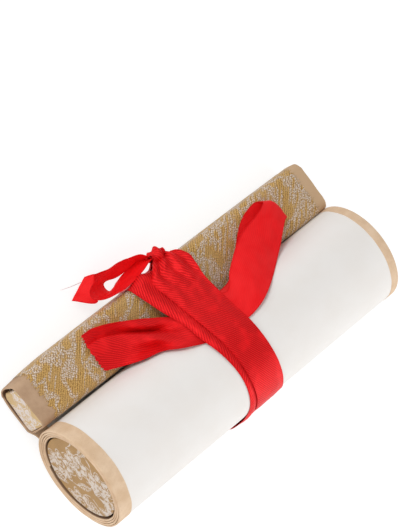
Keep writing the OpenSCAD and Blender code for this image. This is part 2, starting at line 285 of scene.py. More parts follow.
class Wire:
    """One output socket, so that shader maths can be written as plain Python."""

    def __init__(self, bench, socket):
        self.bench = bench
        self.socket = socket

    def maths(self, operation, *values):
        return self.bench.node("Math", {"operation": operation}, dict(enumerate(values)))

    def __add__(self, other):
        return self.maths("ADD", self, other)

    def __sub__(self, other):
        return self.maths("SUBTRACT", self, other)

    def __rsub__(self, other):
        return self.maths("SUBTRACT", other, self)

    def __mul__(self, other):
        return self.maths("MULTIPLY", self, other)

    __radd__ = __add__
    __rmul__ = __mul__

    def call(self, operation):
        return self.maths(operation, self)

    def most(self, other):
        return self.maths("MAXIMUM", self, other)

    def least(self, other):
        return self.maths("MINIMUM", self, other)

    def wave(self, period):
        """A sine wave between 0 and 1."""
        return (self * (2 * math.pi / period)).call("SINE") * 0.5 + 0.5

    def beside(self, name):
        """Another output of the same node."""
        return Wire(self.bench, self.socket.node.outputs[name])

    def rise(self, low, high):
        """0 below low, 1 above high and smooth between them."""
        return self.bench.node("MapRange", {"interpolation_type": "SMOOTHSTEP"},
                               {"Value": self, "From Min": low, "From Max": high})

    def fall(self, low, high):
        return 1 - self.rise(low, high)


# %% The tree of a material
class Bench:
    """The node tree of one material."""

    def __init__(self, name):
        self.material = bpy.data.materials.new(name)
        self.material.use_nodes = True
        self.tree = self.material.node_tree
        self.shader = self.tree.nodes["Principled BSDF"]

    def feed(self, node, key, value):
        socket = socket_of(node.inputs, key)
        if isinstance(value, Wire):
            self.tree.links.new(value.socket, socket)
        else:
            socket.default_value = value

    def node(self, kind, settings=None, values=None, output=0):
        """Any shader node: its settings are set first, then its sockets are fed."""
        made = self.tree.nodes.new("ShaderNode" + kind)
        for key, value in (settings or {}).items():
            setattr(made, key, value)
        for key, value in (values or {}).items():
            self.feed(made, key, value)
        return Wire(self, socket_of(made.outputs, output))

    def finish(self, **sockets):
        """Feeds the shader: Base_Color becomes the socket Base Color."""
        for key, value in sockets.items():
            self.feed(self.shader, key.replace("_", " "), value)
        return self.material

    def coordinate(self, name, scale, turn=(0, 0, 0)):
        """Object or UV coordinates, scaled and then turned."""
        raw = self.node("TexCoord", output=name)
        return self.node("Mapping", values={"Vector": raw, "Scale": scale, "Rotation": turn})

    def noise(self, vector, scale, detail=2.0, rough=0.5):
        return self.node("TexNoise", values={
            "Vector": vector, "Scale": scale, "Detail": detail, "Roughness": rough})

    def mix(self, factor, a, b):
        return self.node("Mix", {"data_type": "RGBA"}, {"Factor": factor, "A": a, "B": b})

    def bump(self, height, strength, distance):
        return self.node("Bump", values={"Height": height, "Strength": strength, "Distance": distance})

    def split(self, vector):
        made = self.node("SeparateXYZ", values={"Vector": vector})
        return [made.beside(k) for k in range(3)]


def tone(red, green, blue):
    """An opaque colour, written as it looks on a screen, from 0 to 255."""
    def linear(value):
        share = value / 255
        return share / 12.92 if value <= 10 else ((share + 0.055) / 1.055) ** 2.4
    return linear(red), linear(green), linear(blue), 1


# %% [markdown]
# The card is smooth and matt. Up close it has a faint cloudiness and short fibres; without them a white
# surface reads as plastic.

# %% Card, kraft and board
def card_finish():
    bench = Bench("white_card")
    spot = bench.coordinate("Object", scale=OBJECT_MM)
    cloud = bench.noise(spot, 0.05, 3)
    fibre = bench.noise(bench.coordinate("Object", scale=(700, 2200, 2200)), 1.0, 3, 0.6)
    colour = bench.mix(cloud.rise(0.3, 0.7), tone(244, 240, 236), tone(246, 243, 240))
    return bench.finish(
        Base_Color=bench.mix(fibre.rise(0.62, 0.8) * 0.2, colour, tone(226, 222, 215)),
        Roughness=0.62 + fibre * 0.2,
        Normal=bench.bump(fibre + cloud * 4, 0.15, 0.0002),
        Specular_IOR_Level=0.25)


def kraft_finish():
    """Kraft paper: tan, with long fibres and dark specks, and darker on the bar. Its inner side is painted
    dark brown as painted shade, standing in for the shadow in the gap round the bar's end panels.
    """
    bench = Bench("kraft_paper")
    spot = bench.coordinate("Object", scale=OBJECT_MM)
    cloud = bench.noise(spot, 0.11, 4, 0.6)
    fibre = bench.noise(bench.coordinate("Object", scale=(500, 2600, 2600)), 1.0, 4, 0.65)
    speck = bench.noise(spot, 2.6, 1)
    along, across, _ = bench.split(bench.coordinate("UV", scale=UV_MM))
    on_bar = along.fall(bar_path_l - 6, bar_path_l + 4)
    far_end = bench.split(spot)[0].rise(-20, 20)
    colour = bench.mix(cloud.rise(0.3, 0.72), tone(222, 190, 156), tone(236, 208, 178))
    # The kraft on the bar is given a darker tone, a little lighter towards the far end.
    bar_tone = bench.mix(cloud.rise(0.3, 0.7), tone(182, 149, 120), tone(198, 166, 136))
    bar_tone = bench.mix(far_end * 0.8, bar_tone, tone(206, 174, 138))
    colour = bench.mix(on_bar, colour, bar_tone)
    # Painted shade: the binding's inner flap, except along the bridge, is mixed towards dark brown. This
    # stands in for the shadow inside the gap between the bar's wall and its end panel.
    bridge = along.rise(bar_path_l - 12, bar_path_l - 6) * along.fall(bar_path_l + 30, bar_path_l + 50)
    inner = across.rise(FOLD_L / 2 - 0.3, FOLD_L / 2 + 0.5) * (1 - bridge)
    colour = bench.mix(inner * 0.85, colour, tone(104, 72, 48))
    colour = bench.mix(fibre.rise(0.55, 0.85) * 0.4, colour, tone(190, 152, 114))
    return bench.finish(
        Base_Color=bench.mix(speck.rise(0.68, 0.76) * 0.35, colour, tone(140, 104, 74)),
        Roughness=0.7 + fibre * 0.2,
        Normal=bench.bump(fibre + cloud * 2, 0.3, 0.0003),
        Specular_IOR_Level=0.25)


def board_finish():
    """Grey-brown board, as the hidden tube and bar are made of."""
    bench = Bench("tube_board")
    fibre = bench.noise(bench.coordinate("Object", scale=(600, 1800, 1800)), 1.0, 4, 0.6)
    return bench.finish(
        Base_Color=bench.mix(fibre, tone(150, 130, 106), tone(186, 166, 140)),
        Roughness=0.75 + fibre * 0.2,
        Normal=bench.bump(fibre, 0.3, 0.0003))


white_card = card_finish()
kraft = kraft_finish()
board = board_finish()
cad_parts["roller_tube"].data.materials.clear()
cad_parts["roller_tube"].data.materials.append(board)
print("finishes:", white_card.name, kraft.name, board.name)


# %% [markdown]
# The brocade has a gold ground of fine ribs and a pattern floated over it in silver thread: round
# flowers, leaves whose veins are rows of short floats, and thin stems. A Voronoi texture deals out one
# flower or leaf to each of its cells. The place inside a cell, as an angle and a distance from the cell's
# point, then draws the petals, so no two lie alike.

# %% Brocade
FLOWER_CELL = 25.0
LEAF_CELL = 16.0
RIB = 0.62
FLAT_CELLS = {"voronoi_dimensions": "2D", "feature": "F1"}


def brocade_finish(name, fabric_of, gold, shade, silver):
    bench = Bench(name)
    fabric = fabric_of(bench)
    u, v, _ = bench.split(fabric)

    def cell(size, shift):
        """Distance and angle from the point of a Voronoi cell, and the cell's random number."""
        spot = bench.node("Mapping", values={
            "Vector": fabric, "Location": shift, "Scale": (1 / size, 1 / size, 1)})
        point = bench.node("TexVoronoi", FLAT_CELLS, {
            "Vector": spot, "Scale": 1.0, "Randomness": 0.75}, "Position")
        draw = bench.split(point.beside("Color"))[0]
        local = bench.node("VectorMath", {"operation": "SUBTRACT"}, {0: spot, 1: point})
        x, y, _ = bench.split(local)
        far = bench.node("VectorMath", {"operation": "LENGTH"}, {0: local}, "Value")
        return far, y.maths("ARCTAN2", y, x), draw

    far, angle, draw = cell(FLOWER_CELL, (3.7, 1.9, 0))
    lobes = (angle * 7 + draw * 6.3).call("COSINE")
    petal = (far - 0.30 - lobes * 0.075).fall(-0.012, 0.012)
    gap = (lobes + far * 2).rise(-0.62, -0.42)
    ring = (far - 0.13).call("ABSOLUTE").rise(0.018, 0.034)
    heart = far.rise(0.045, 0.06)
    flower = petal * gap * ring * heart
    rim = (far - 0.36 - lobes * 0.08).call("ABSOLUTE").fall(0.012, 0.02)

    far, angle, draw = cell(LEAF_CELL, (0.4, 7.3, 0))
    turn = angle + draw * 6.3
    run = far * turn.call("COSINE")
    side = (far * turn.call("SINE")).call("ABSOLUTE")
    leaf = (side - 0.17 + run * run * 0.85).fall(-0.015, 0.015)
    vein = ((run * 1.1 - side) * 9).call("FRACT").rise(0.30, 0.42)
    spine = side.rise(0.012, 0.026)
    leaves = leaf * vein * spine

    stem = (bench.noise(fabric, 0.045, 1) - 0.5).call("ABSOLUTE").fall(0.006, 0.013)
    pattern = flower.most(rim).most(leaves).most(stem)

    fine = bench.noise(fabric, 1.6, 2)
    ribs = (u * 0.35 + v + fine * 0.25).wave(RIB)
    floats = (v * 0.35 - u + fine * 0.3).wave(RIB * 1.15)
    worn = bench.noise(fabric, 0.5, 3).rise(0.30, 0.52)
    thread = pattern * (floats * 0.5 + 0.5) * worn
    ground = bench.mix(ribs * 0.75 + fine * 0.25, shade, gold)
    ground = bench.mix(bench.noise(fabric, 0.09, 2).rise(0.35, 0.7) * 0.35, ground, shade)
    return bench.finish(
        Base_Color=bench.mix(thread, ground, silver),
        Metallic=0.12 + thread * 0.1,
        Roughness=0.58 - thread * 0.14,
        Normal=bench.bump(ribs * (1 - thread) + floats * thread * 1.4 + pattern * 0.8, 0.5, 0.0002),
        Sheen_Weight=0.05)


def on_disc(bench):
    """The end faces look along x, so their cloth lies in the y and z of the object."""
    return bench.coordinate("Object", scale=(0, PER_M, PER_M), turn=(0, math.radians(90), 0))


def on_wrap(bench):
    """Round the bar the cloth is laid on the bias."""
    return bench.coordinate("UV", scale=UV_MM, turn=(0, 0, math.radians(-42)))


disc_brocade = brocade_finish(
    "disc_brocade", on_disc, tone(206, 162, 98), tone(158, 118, 64), tone(236, 228, 222))
panel_brocade = brocade_finish(
    "panel_brocade", on_disc, tone(232, 202, 146), tone(208, 172, 118), tone(238, 230, 232))
print("finishes:", disc_brocade.name, panel_brocade.name)


# %% [markdown]
# On the bar the same cloth shows its reverse: no drawn flowers, but broken silver strokes along the
# threads, each a row of small floats, on a gold ground of coarse ribs.

# %% Brocade, reverse side
THREAD = 1.3
FLOAT = 0.95
HATCH = 2.9


def reverse_finish():
    bench = Bench("bar_brocade")
    fabric = on_wrap(bench)
    _, v, _ = bench.split(fabric)

    def stretched(across, along, shift):
        """Noise drawn out along the threads."""
        return bench.noise(bench.node("Mapping", values={
            "Vector": fabric, "Location": (shift, shift, 0), "Scale": (along, across, 0)}), 1.0, 2)

    _, x, _ = bench.split(bench.coordinate("UV", scale=UV_MM))
    winding = (stretched(0.075, 0.05, 3.1) - 0.5).call("ABSOLUTE").fall(0.025, 0.055)
    strokes = stretched(0.4, 0.045, 7.7).rise(0.57, 0.63)
    hatch = (v * (2 * math.pi / HATCH)).call("SINE").rise(-0.55, 0.25)
    patches = (stretched(0.11, 0.06, 9.7) + x * (0.10 / END_X)).rise(0.53, 0.60) * hatch
    loose = bench.noise(fabric, 0.7, 3, 0.6).rise(0.30, 0.52)
    silver = winding.most(strokes).most(patches * 0.9) * loose
    fine = bench.noise(fabric, 0.9, 2)
    threads = (v + fine * 0.5).wave(THREAD)
    dots = bench.node("TexVoronoi", FLAT_CELLS, {
        "Vector": fabric, "Scale": 1 / FLOAT, "Randomness": 0.7}, "Distance")
    floats = dots.fall(0.22, 0.5)
    ground = bench.mix(threads * 0.5 + floats * 0.5, tone(152, 110, 50), tone(236, 192, 112))
    ground = bench.mix(bench.noise(fabric, 0.08, 2).rise(0.4, 0.7) * 0.4, ground, tone(196, 158, 104))
    lilac = bench.mix(floats, tone(172, 150, 130), tone(240, 228, 220))
    strand = bench.noise(bench.coordinate("UV", scale=(1100, 220, 1)), 1.0, 2).rise(0.3, 0.7)
    inside = (x - COVER_NEAR).least(COVER_FAR - x)
    return bench.finish(
        Base_Color=bench.mix(silver * (0.45 + floats * 0.5), ground, lilac),
        Metallic=0.1,
        Roughness=0.6 - floats * silver * 0.15,
        Alpha=(inside - strand * (2 * FRAY)).rise(-0.1, 0.3),
        Normal=bench.bump(threads * 0.6 + floats + silver * 0.6, 0.6, 0.0003),
        Sheen_Weight=0.1)


bar_brocade = reverse_finish()
print("finish:", bar_brocade.name)

# %% [markdown]
# The ribbon is woven as a twill on one face and a satin on the other. Its UV map is the flat ribbon, so
# the twill's ribs stay at their angle through every fold. The face that shows is told by a shift of the
# UV map across: none for the twill, one shift for the twill of a length that was turned over, two for the
# satin, three for a turned twill that is rubbed smooth, and four for a pale loose thread.

# %% Ribbon red
RIBBON_RIB = 1.2
RIBBON_PICK = 0.9
RIBBON_SLANT = math.radians(32)
FACE_SHIFT = 100.0
TWILL, TURNED, SATIN, RUBBED, THREAD_END = [k * FACE_SHIFT for k in range(5)]


def ribbon_finish():
    bench = Bench("red_ribbon")
    flat = bench.coordinate("UV", scale=UV_MM)
    along, across, _ = bench.split(flat)
    over, satin, rubbed, pale = [
        across.maths("GREATER_THAN", across, FACE_SHIFT * (k + 0.6)) for k in range(4)]
    across = across - (over + satin + rubbed + pale) * FACE_SHIFT
    wander = bench.noise(flat, 0.3, 2)
    slant = across * math.cos(RIBBON_SLANT) - along * math.sin(RIBBON_SLANT) * (1 - over * 2) + wander * 0.7
    rib = slant.wave(RIBBON_RIB)
    pick = along.wave(RIBBON_PICK)
    twill = (1 - satin + rubbed * 0.85) * bench.noise(flat, 0.11, 2).rise(0.2, 0.55)
    edge = (across - RIBBON_W / 2).call("ABSOLUTE").rise(RIBBON_W / 2 - 1.0, RIBBON_W / 2 - 0.7)
    weave = rib * (0.7 + pick * 0.3)
    colour = bench.mix(weave, tone(198, 3, 10), tone(252, 38, 42))
    smooth = bench.mix(bench.noise(flat, 0.12, 3).rise(0.3, 0.75), tone(255, 34, 38), tone(250, 22, 28))
    colour = bench.mix(0.2 + twill * 0.8, smooth, colour)
    colour = bench.mix(edge * 0.5, colour, tone(220, 8, 16))
    return bench.finish(
        Base_Color=bench.mix(pale, colour, tone(226, 206, 206)),
        Metallic=0.08 + twill * 0.27,
        Roughness=0.5 - twill * 0.06,
        Normal=bench.bump(weave * (0.15 + twill * 0.85) + edge * 0.5, 0.5, 0.0003),
        Specular_IOR_Level=0.24,
        Specular_Tint=(1.0, 0.6, 0.6, 1))


ribbon_red = ribbon_finish()
print("finish:", ribbon_red.name)

# %% [markdown]
# ## The card sheet
# One long sheet: up round the bar, across underneath and then four turns on the roller. Wound by hand, no
# turn stands quite level with the next at the ends, so each place of the section has its own small step
# in or out, and the near end stands a little proud of its discs.

# %% How the card gives way
EDGE_STEP = 0.28
STEP_AROUND = 1.6
STEP_ACROSS = 0.85
FAR_SEED = 40
SOFT_END_L = 32.0
NEAR_SINK = 3.4
FAR_SINK = 1.1
LOW_SINK = 3.6
FAR_LOW_SINK = 1.3
LEAN = graph((-END_X, -0.45), (-85, -0.2), (-50, 0.3), (30, 0.4), (95, 1.25), (END_X, 1.25))
BRIDGE_DIP = 4.0
TOP_SOFT_R = 14.0
LOW_SOFT_R = 9.0
LEAN_DEPTH = 2.5
LEAN_HALF_H = 6.0
TOP_DOWN = 0.6
LOW_IN = 0.8
LOW_UP = 0.5


def end_step(place, far_end):
    """How far the edge of the sheet stands out or in at one place of the section."""
    r = place.length
    around = place / r * STEP_AROUND
    return EDGE_STEP * noise.noise(Vector((r * STEP_ACROSS + FAR_SEED * far_end, around.x, around.y)))


def end_x(place, x):
    """Carries a place along the roll out to its own edge of the sheet."""
    proud = NEAR_PROUD * max(0.0, -x / END_X) ** 4
    return x + end_step(place, x > 0) * abs(x) / END_X - proud


def give(spot, x):
    """How the dressed bar gives way: its outer edges sink, and its inner side leans on the roll."""
    near_end = max(0.0, (-x - END_X + SOFT_END_L) / SOFT_END_L) ** 2
    sink = NEAR_SINK * near_end + FAR_SINK * max(0.0, x / END_X)
    sink *= math.exp(-((Vector((BAR_OUT, BAR_TOP)) - spot).length / TOP_SOFT_R) ** 2)
    low = LOW_SINK * near_end + FAR_LOW_SINK * max(0.0, x / END_X) ** 2
    low *= math.exp(-((Vector((BAR_OUT, BAR_BOTTOM)) - spot).length / LOW_SOFT_R) ** 2)
    lean = LEAN(x) * math.exp(-((spot.x - BAR_IN) / LEAN_DEPTH) ** 2 - (spot.y / LEAN_HALF_H) ** 2)
    return Vector((-sink - lean - LOW_IN * low, LOW_UP * low - TOP_DOWN * sink))


bridge_dip = graph(
    (0, 0.0), (bar_path_l - 5, 0.0), (bar_path_l + 4, BRIDGE_DIP), (bar_path_l + BRIDGE_L, BRIDGE_DIP),
    (bar_path_l + BRIDGE_L + 18, 0.0), (sheet_path.length, 0.0))


def on_section(s, n, x):
    """A place beside the sheet, at a length along the section and a place along the roll."""
    spot = sheet_path.beside(s, n)
    soft = give(spot, x) if s < bar_path_l else Vector((0, 0))
    drawn_in = bridge_dip(s) * max(0.0, -x / END_X) ** 8
    return Vector((end_x(sheet_path.at(s)[0], x) + drawn_in, *(spot + soft)))


def on_sheet(s, x):
    return on_section(s, 0, x)


# %% Card sheet
GRID_STEP = 2.0
PLAIN_STEP = 20.0
route = sheet_path.stations()
card_half = END_X - BINDING_T - PASTE_GAP

bm = bmesh.new()
soft_x = spread(END_X - SOFT_END_L, card_half, GRID_STEP)
sheet_x = [-x for x in reversed(soft_x)] + spread(-soft_x[0], soft_x[0], PLAIN_STEP)[1:-1] + soft_x
bend_flat(bm, route, sheet_x, on_sheet)
sheet = make_piece("card_sheet", bm, white_card, ["scroll_sheet"], SHEET_T)

# %% [markdown]
# Each binding is a narrow strip, folded over the edge of the card along its middle. Across its width it
# goes out on the outside of the card, round the edge in a small half circle, and back on the inside.

# %% Edge bindings
BINDING_WANDER = 0.25
BINDING_NICKS = 0.12
UNDER_COVER = 0.4
ON_BAR_SHARE = graph((0, 1.0), (bar_path_l - 4, 1.0), (bar_path_l + 4, 0.0), (sheet_path.length, 0.0))


def binding(name, node, end):
    """One folded strip; end is -1 at the near end of the roll and 1 at the far end."""
    tip_x = END_X - BINDING_T / 2 - FOLD_N
    roll_w, bar_w = BINDING_W["near" if end < 0 else "far"]

    def place(s, t):
        width = roll_w + (bar_w + 2 * FRAY + UNDER_COVER - roll_w) * ON_BAR_SHARE(s)
        width += BINDING_WANDER * ripple(s / 9, 0, end) + BINDING_NICKS * ripple(s / 2.5, 0, end)
        flap = width - FOLD_N
        if abs(t) <= FOLD_L / 2:
            turn = math.pi * t / FOLD_L
            x, n = tip_x + FOLD_N * math.cos(turn), -FOLD_N * math.sin(turn)
        else:
            share = (abs(t) - FOLD_L / 2) / (roll_w - FOLD_N)
            x, n = tip_x - flap * share, -math.copysign(FOLD_N, t)
        return on_section(s, n, end * x)

    half = FOLD_L / 2 + roll_w - FOLD_N
    fold = spread(-FOLD_L / 2, FOLD_L / 2, FOLD_L / 6)
    across = spread(-half, -FOLD_L / 2, GRID_STEP)[:-1] + fold
    across += spread(FOLD_L / 2, half, GRID_STEP)[1:]
    strip = bmesh.new()
    bend_flat(strip, route, across, place)
    make_piece(name, strip, kraft, [node], BINDING_T)


ENDS = (("near", -1), ("far", 1))
for side, end in ENDS:
    binding(f"kraft_edge_{side}", f"edge_binding_{side}", end)

# %% [markdown]
# ## Brocade
# The cover is a flat cloth, pasted round the bar. A box with bevelled edges would be quicker to make, but
# its pattern wouldn't run on round the corners. So the cloth is bent along the first part of the card's
# own path, a little proud of the card, and its cut edges wander.

# %% Brocade cover on the bar
COVER_RAGGED = 0.35
COVER_UNEVEN = 0.05
COVER_STEP = 3.0
COVER_N = SHEET_T / 2 + PASTE_GAP + BROCADE_T / 2
bar_route = sheet_path.stations(step_deg=9, step=GRID_STEP, last=len(BAR_STEPS))


def on_cover(s, x):
    ragged = COVER_RAGGED * ripple(s / 3, 0, 5) * abs(x / END_X) ** 20
    return on_section(s, COVER_N + COVER_UNEVEN * ripple(s / 5, x / 6, 2), x + ragged)


bm = bmesh.new()
bend_flat(bm, bar_route, spread(COVER_NEAR, COVER_FAR, COVER_STEP), on_cover)
cover = make_piece("brocade_wrap", bm, bar_brocade, ["brocade_cover"], BROCADE_T)

# %% [markdown]
# A disc closes each end of the roller: a round of card with cloth turned over its rim. A bevelled
# cylinder would do for a hard one. Here half a profile is drawn and spun, so that the face can swell a
# little, and the disc is then made slightly oval, tilted and uneven, as one covered by hand is.

# %% End discs of the roller
DISC_RECESS = 0.5
DISC_T = 2.0
DISC_RIM_R = 0.6
DISC_SWELL = 0.3
DISC_AIR = 0.2
DISC_OVAL = 0.978
DISC_TILT = 0.008
DISC_UNEVEN = 0.12
DISC_RINGS = 8
DISC_STEPS = 96
RIM_STEPS = 6
WELD = 0.001
roller_low, roller_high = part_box("roller_disc_near")
DISC_R = PER_M * (roller_high.y - roller_low.y) / 2 - DISC_AIR
roller_middle = LAID.inverted() @ ((roller_low + roller_high) / 2)


def end_face(end):
    """How far out the edges of the sheet stand at one end."""
    return END_X + (NEAR_PROUD if end < 0 else 0)


def disc(name, node, end):
    """A covered disc: half its profile is drawn from a point, then spun all the way round."""
    profile = bmesh.new()
    face_x = end_face(end) - DISC_RECESS
    tip = profile.verts.new((face_x, 0, 0))
    for k in range(DISC_RINGS):
        share = (k + 1) / DISC_RINGS
        tip = bmesh.ops.extrude_vert_indiv(profile, verts=[tip])["verts"][0]
        tip.co = (face_x - DISC_SWELL * share ** 4, share * (DISC_R - DISC_RIM_R), 0)
    centre = tip.co + Vector((-DISC_RIM_R, 0, 0))
    rim = bmesh.ops.spin(profile, geom=[tip], cent=centre, axis=(0, 0, 1), angle=math.radians(90),
                         steps=RIM_STEPS)
    tip = next(g for g in rim["geom_last"] if isinstance(g, bmesh.types.BMVert))
    for x, r in ((face_x - DISC_T, DISC_R), (face_x - DISC_T, 0)):
        tip = bmesh.ops.extrude_vert_indiv(profile, verts=[tip])["verts"][0]
        tip.co = (x, r, 0)
    bmesh.ops.spin(profile, geom=profile.verts[:] + profile.edges[:], cent=(0, 0, 0), axis=(1, 0, 0),
                   angle=2 * math.pi, steps=DISC_STEPS, use_merge=True)
    bmesh.ops.remove_doubles(profile, verts=profile.verts, dist=WELD)
    for v in profile.verts:
        if v.co.x > face_x - DISC_T / 2:
            v.co.x += DISC_UNEVEN * ripple(v.co.y / 7, v.co.z / 7, 8 + end) + DISC_TILT * v.co.z
    bmesh.ops.scale(profile, vec=(end, DISC_OVAL, 1), verts=profile.verts)
    bmesh.ops.translate(profile, vec=(0, roller_middle.y, roller_middle.z), verts=profile.verts)
    bmesh.ops.recalc_face_normals(profile, faces=profile.faces)
    make_piece(name, profile, disc_brocade, [node])


for side, end in ENDS:
    disc(f"brocade_disc_{side}", f"roller_disc_{side}", end)

# %% [markdown]
# The panels close the ends of the bar in the same way. They aren't round, so an outline is extruded and
# drawn in, step by step, which rounds the rim and swells the face. The outline starts as a circle whose
# four quarters are moved apart, so that its corners are true arcs.

# %% End panels of the bar
PANEL_RECESS = 0.4
PANEL_T = 2.0
PANEL_AIR = 0.45
PANEL_TRIM = Vector((0.9, 0.6))
PANEL_SHIFT = Vector((-0.75, 0.6))
PANEL_RIM = 0.8
PANEL_STEPS = ((0.35, 0.10), (0.25, 0.22), (0.12, 0.30), (0.06, 1.2), (0.05, 2.4), (0.04, 3.0))
OUTLINE_STEPS = 40
PANEL_IN = WRAP_IN + BOUND_T / 2 + PANEL_AIR
BAR_MIDDLE = Vector(((BAR_IN + BAR_OUT) / 2, (BAR_TOP + BAR_BOTTOM) / 2))


def bar_outline(bm, inset, trim, filled):
    """The bar's outline, set in: a circle whose four quarters are moved apart to the corners."""
    corner_r = DRESSED_CORNER_R - inset
    made = bmesh.ops.create_circle(bm, cap_ends=filled, segments=OUTLINE_STEPS, radius=corner_r,
                                   matrix=Matrix.Rotation(math.radians(180 / OUTLINE_STEPS), 4, "Z"))
    reach = (Vector((BAR_W, BAR_H)) - trim) / 2 - Vector((inset + corner_r, inset + corner_r))
    for v in made["verts"]:
        v.co.x += math.copysign(reach.x, v.co.x)
        v.co.y += math.copysign(reach.y, v.co.y)


def on_bar(bm, end, face_x, shift):
    """Stands a flat drawing up at one end of the bar, and lets it give way with the bar."""
    middle = BAR_MIDDLE + shift
    bmesh.ops.transform(bm, verts=bm.verts, matrix=Matrix((
        (0, 0, end, end * face_x), (1, 0, 0, middle.x), (0, 1, 0, middle.y), (0, 0, 0, 1))))
    for v in bm.verts:
        v.co.yz += give(v.co.yz, v.co.x)


def panel(name, node, end):
    """A covered panel: the bar's outline, extruded and swelled."""
    plate = bmesh.new()
    bar_outline(plate, PANEL_IN, PANEL_TRIM, True)

    def raise_face(face, height, inset):
        """Extrudes one face, draws its outline in evenly all round, and gives back the new face."""
        made = bmesh.ops.extrude_discrete_faces(plate, faces=[face])["faces"][0]
        shrink = Vector((1 - inset / (BAR_W / 2 - PANEL_IN), 1 - inset / (BAR_H / 2 - PANEL_IN), 1))
        bmesh.ops.translate(plate, vec=(0, 0, height), verts=made.verts)
        bmesh.ops.scale(plate, vec=shrink, verts=made.verts)
        return made

    floor_face = plate.faces[:][0]
    bmesh.ops.reverse_faces(plate, faces=[floor_face])
    top = raise_face(floor_face, PANEL_T - PANEL_RIM, 0)
    for height, inset in PANEL_STEPS:
        top = raise_face(top, height, inset)
    bmesh.ops.poke(plate, faces=[top])
    on_bar(plate, end, end_face(end) - PANEL_RECESS - PANEL_T, PANEL_SHIFT)
    bmesh.ops.holes_fill(plate, edges=plate.edges, sides=0)
    bmesh.ops.recalc_face_normals(plate, faces=plate.faces)
    make_piece(name, plate, panel_brocade, [node])


for side, end in ENDS:
    panel(f"brocade_panel_{side}", f"bar_panel_{side}", end)

# %% [markdown]
# Inside the wrap is a hollow bar of board. It hardly shows, but it has to give way where the dressed bar
# does, or it would show through. So it is drawn again from the same outline, with many rings of vertices
# along it that can follow.

# %% Board bar inside the wrap
CORE_WALL = 1.6
CORE_IN = PANEL_IN + CORE_WALL / 2
CORE_L = PER_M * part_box("bar_core")[1].x
CORE_STEPS = 24

bm = bmesh.new()
bar_outline(bm, CORE_IN, Vector((0, 0)), False)
rim = bm.edges[:]
bmesh.ops.translate(bm, vec=(0, 0, -CORE_L), verts=bm.verts)
for k in range(CORE_STEPS):
    made = bmesh.ops.extrude_edge_only(bm, edges=rim)["geom"]
    rim = [g for g in made if isinstance(g, bmesh.types.BMEdge)]
    bmesh.ops.translate(bm, vec=(0, 0, 2 * CORE_L / CORE_STEPS),
                        verts=[g for g in made if isinstance(g, bmesh.types.BMVert)])
on_bar(bm, 1, 0, Vector((0, 0)))
bmesh.ops.recalc_face_normals(bm, faces=bm.faces)
make_piece("bar_tube", bm, board, ["bar_core"], CORE_WALL)

# %% [markdown]
# ## The ribbon
# The ribbon goes round roll and bar twice, is knotted at the bar's outer edge, and leaves two loops and
# two ends. It is bent from flat strips, which are drawn narrower where the ribbon is gathered. On the
# ring, a strip follows the ring's path, with the place of its two edges and its lift off the path given
# along the way. Pleats are waves across the strip that die away from the knot.

# %% Ribbon strips on the ring
RIBBON_STEP = 1.2
STRIP_T = 0.17
PLEATS = 3.5
PLEAT_SWAY = 0.15
PLEAT_UNEVEN = 0.9
PLEAT_SINK = 0.6
TOP_TO = 150
TOP_FADE = 20
BAND_UNEVEN = 0.16
ACROSS = spread(0, RIBBON_W, 1.0)
RING_L = ring_path.length
ribbon = bmesh.new()
ribbon_l = 0.0


def on_ring(s, x, lift):
    return Vector((x, *ring_path.beside(s, -lift)))


def ring_strip(left, right, lift, pleat, seed, face):
    """Lays one turn of ribbon round roll and bar, from the knot over the top and back to the knot."""
    def place(s, t):
        share = t / RIBBON_W
        x = left(s) + (right(s) - left(s)) * share
        waves = math.sin(2 * math.pi * (PLEATS * share + PLEAT_SWAY * math.sin(s / 5) + seed))
        on_top = max(0.0, min(1.0, (TOP_TO - s) / TOP_FADE))
        creased = pleat(s) * (waves + PLEAT_UNEVEN * ripple(s / 3.5, t / 2.5, seed))
        uneven = BAND_UNEVEN * on_top * ripple(s / 8, t / 5, seed)
        return on_ring(s, x, lift(s, share) + max(creased + uneven, -PLEAT_SINK * lift(s, share)))
    bend_flat(ribbon, spread(0, RING_L, RIBBON_STEP), ACROSS, place, face)
    return RING_L


# %% The two turns of ribbon
BAND_ON_ROLL = 0.31
OVER_FROM = 0.66
OVER_W = 0.34
OVER_SINK = 0.55
RIM_ROLL = 0.5
RIM_ROLL_W = 0.035
RIDGE_AT = 0.48
RIDGE_HALF_W = 0.30
LEAST_SHOWN = 3.0
BESIDE_KNOT = 2.6
BESIDE_AT = 0.42
BESIDE_HALF_W = 0.2
BESIDE_L = 7

under_left = graph(
    (0, -25.5), (7, -24.3), (26, -21.5), (39, -18.7), (53, -18.0), (66, -15.8), (83, -13.5), (104, -13.0),
    (116, -14.5), (128, -20.0), (142, -15.0), (165, -12.6), (215, -13.5), (236, -20.0), (RING_L, -25.5))
band_left = graph(
    (0, -1.0), (4, -8.0), (8, -12.4), (26, -12.2), (60, -10.7), (85, -9.4), (108, -7.4), (122, -6.6),
    (150, -10.0), (175, -12.4), (235, -12.4), (RING_L, -3.0))
band_right = graph(
    (0, 8.0), (2, 12.5), (5, 15.6), (9, 16.6), (26, 12.9), (60, 11.6), (85, 12.0), (108, 13.8),
    (122, 16.0), (150, 13.6), (175, 12.5), (235, 12.5), (RING_L, 4.0))
under_rise = graph(
    (0, 0.3), (7, 0.6), (26, 1.0), (45, 1.3), (58, 1.2), (70, 0.5), (83, 0.2), (112, 0.2), (127, 1.6),
    (142, 0.6), (156, 0.13), (236, 0.13), (RING_L, 0.3))
band_rise = graph(
    (0, 5.0), (3, 4.0), (7, 2.9), (16, 2.4), (26, 2.2), (45, 2.4), (58, 2.2), (70, 1.4), (83, 1.0),
    (112, 0.9), (135, 0.7), (156, 0.31), (240, 0.31), (250, 0.4), (254.5, 1.4), (RING_L, 4.0))
under_curl = graph((0, 0.3), (8, 1.0), (60, 1.0), (105, 0.8), (130, 0.5), (150, 0.0), (RING_L, 0.0))
